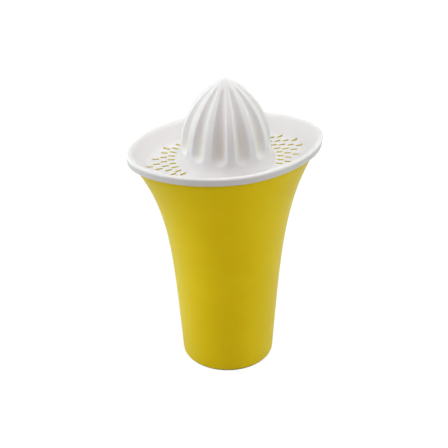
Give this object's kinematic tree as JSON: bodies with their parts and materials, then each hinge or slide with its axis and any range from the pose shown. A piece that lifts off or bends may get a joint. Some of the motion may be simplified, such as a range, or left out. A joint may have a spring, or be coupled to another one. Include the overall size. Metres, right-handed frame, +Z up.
{
  "type": "citrus juicer",
  "caption": "Hand citrus juicer: a tall cup flaring from a round foot to an oval mouth, with a lift-off slotted dish and fluted reamer on top.",
  "frame": {"origin": "centre of the cup's foot, on the surface it stands on and on the axis of the reamer", "axes": "+Z up through the reamer's tip, X along the long axis of the oval rim, Y along its short axis"},
  "size_m": [0.1308, 0.0942, 0.2053],
  "materials": {
    "yellow_plastic": "smooth moulded satin gloss",
    "white_plastic": "smooth moulded gloss"
  },
  "bodies": {
    "cup": {"cup": "yellow_plastic"},
    "juicer_top": {"juicer_top": "white_plastic"}
  },
  "joints": [
    {"name": "top_lift", "type": "slide", "parent": "cup", "child": "juicer_top", "axis": [0, 0, 1], "range_m": [0, 0.08]}
  ]
}
